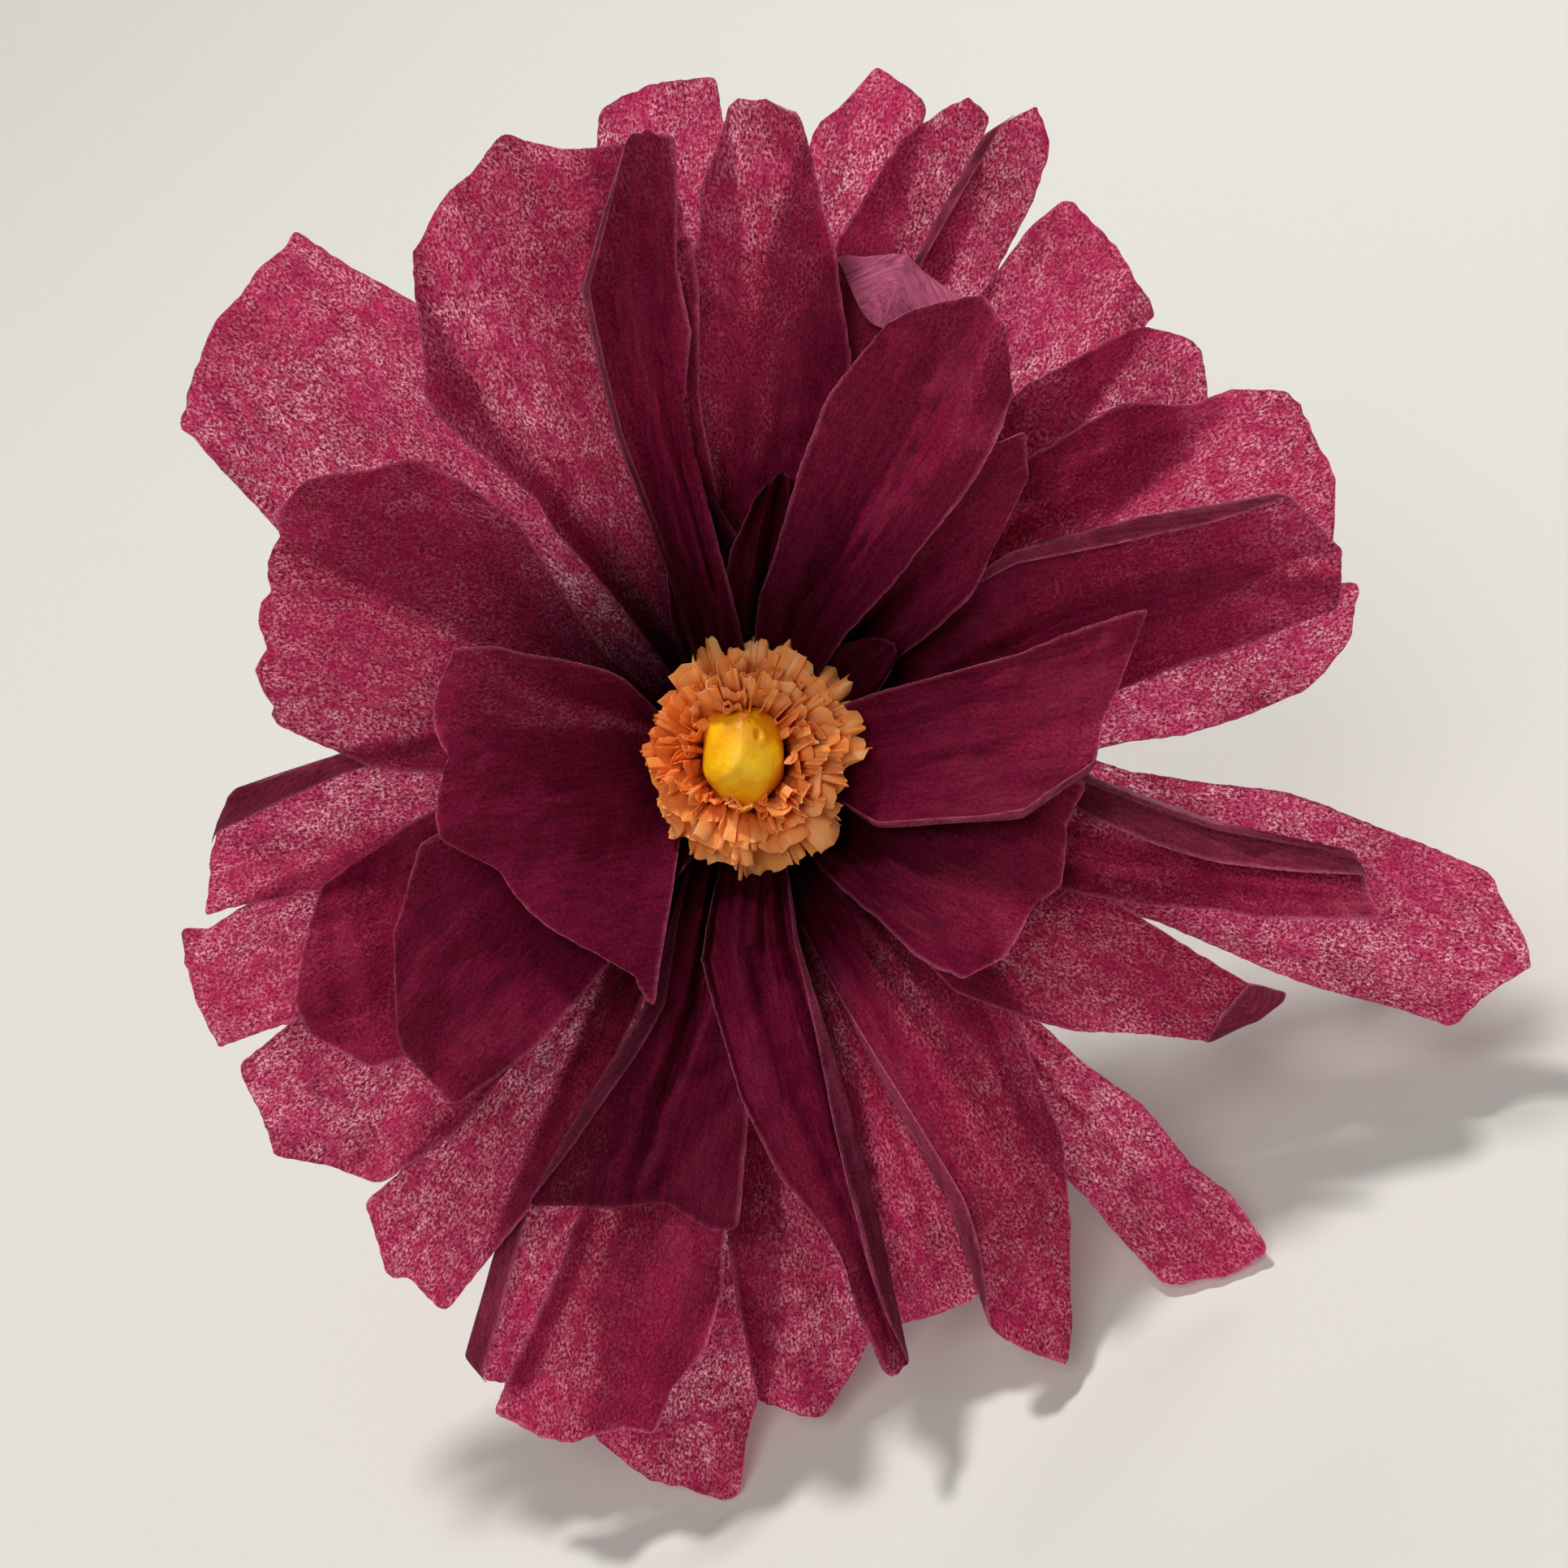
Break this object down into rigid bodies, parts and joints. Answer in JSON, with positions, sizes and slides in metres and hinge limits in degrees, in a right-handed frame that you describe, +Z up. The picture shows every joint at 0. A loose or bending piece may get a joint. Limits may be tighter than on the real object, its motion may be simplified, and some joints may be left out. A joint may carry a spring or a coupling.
{
  "type": "paper flower",
  "caption": "Large open paper flower with overlapping wine-coloured tissue petals, a frilled crepe ring round a yellow bud, and a taped wire stem.",
  "frame": {"origin": "middle of the bounding box in plan, on the surface that the flower lies on", "axes": "+Z up, +Y from the open face towards the stem's end, +X to the right seen from in front of the open face"},
  "size_m": [0.1966, 0.2378, 0.1889],
  "materials": {
    "wine_tissue": "matte translucent tissue paper",
    "apricot_crepe": "matte crinkled crepe paper",
    "yellow_paper": "satin stretched paper",
    "floral_tape": "waxed crepe tape, semi-matte",
    "steel_wire": "plain drawn wire"
  },
  "bodies": {
    "root": {"petal_back_01": "wine_tissue", "petal_back_02": "wine_tissue", "petal_back_03": "wine_tissue", "petal_back_04": "wine_tissue", "petal_back_05": "wine_tissue", "petal_back_06": "wine_tissue", "petal_back_07": "wine_tissue", "petal_back_08": "wine_tissue", "petal_back_09": "wine_tissue", "petal_back_10": "wine_tissue", "petal_back_11": "wine_tissue", "petal_back_12": "wine_tissue", "petal_back_13": "wine_tissue", "petal_back_14": "wine_tissue", "petal_back_15": "wine_tissue", "petal_back_16": "wine_tissue", "petal_outer_01": "wine_tissue", "petal_outer_02": "wine_tissue", "petal_outer_03": "wine_tissue", "petal_outer_04": "wine_tissue", "petal_outer_05": "wine_tissue", "petal_outer_06": "wine_tissue", "petal_outer_07": "wine_tissue", "petal_outer_08": "wine_tissue", "petal_outer_09": "wine_tissue", "petal_outer_10": "wine_tissue", "petal_middle_01": "wine_tissue", "petal_middle_02": "wine_tissue", "petal_middle_03": "wine_tissue", "petal_middle_04": "wine_tissue", "petal_middle_05": "wine_tissue", "petal_pleat_01": "wine_tissue", "petal_pleat_02": "wine_tissue", "petal_pleat_03": "wine_tissue", "petal_front_01": "wine_tissue", "petal_front_02": "wine_tissue", "petal_front_03": "wine_tissue", "petal_front_04": "wine_tissue", "petal_front_05": "wine_tissue", "petal_throat_01": "wine_tissue", "petal_throat_02": "wine_tissue", "frill_outer": "apricot_crepe", "frill_inner": "apricot_crepe", "bud": "yellow_paper", "stem_wire": "steel_wire", "stem_tape": "floral_tape", "petal_seat": "floral_tape"}
  },
  "joints": []
}
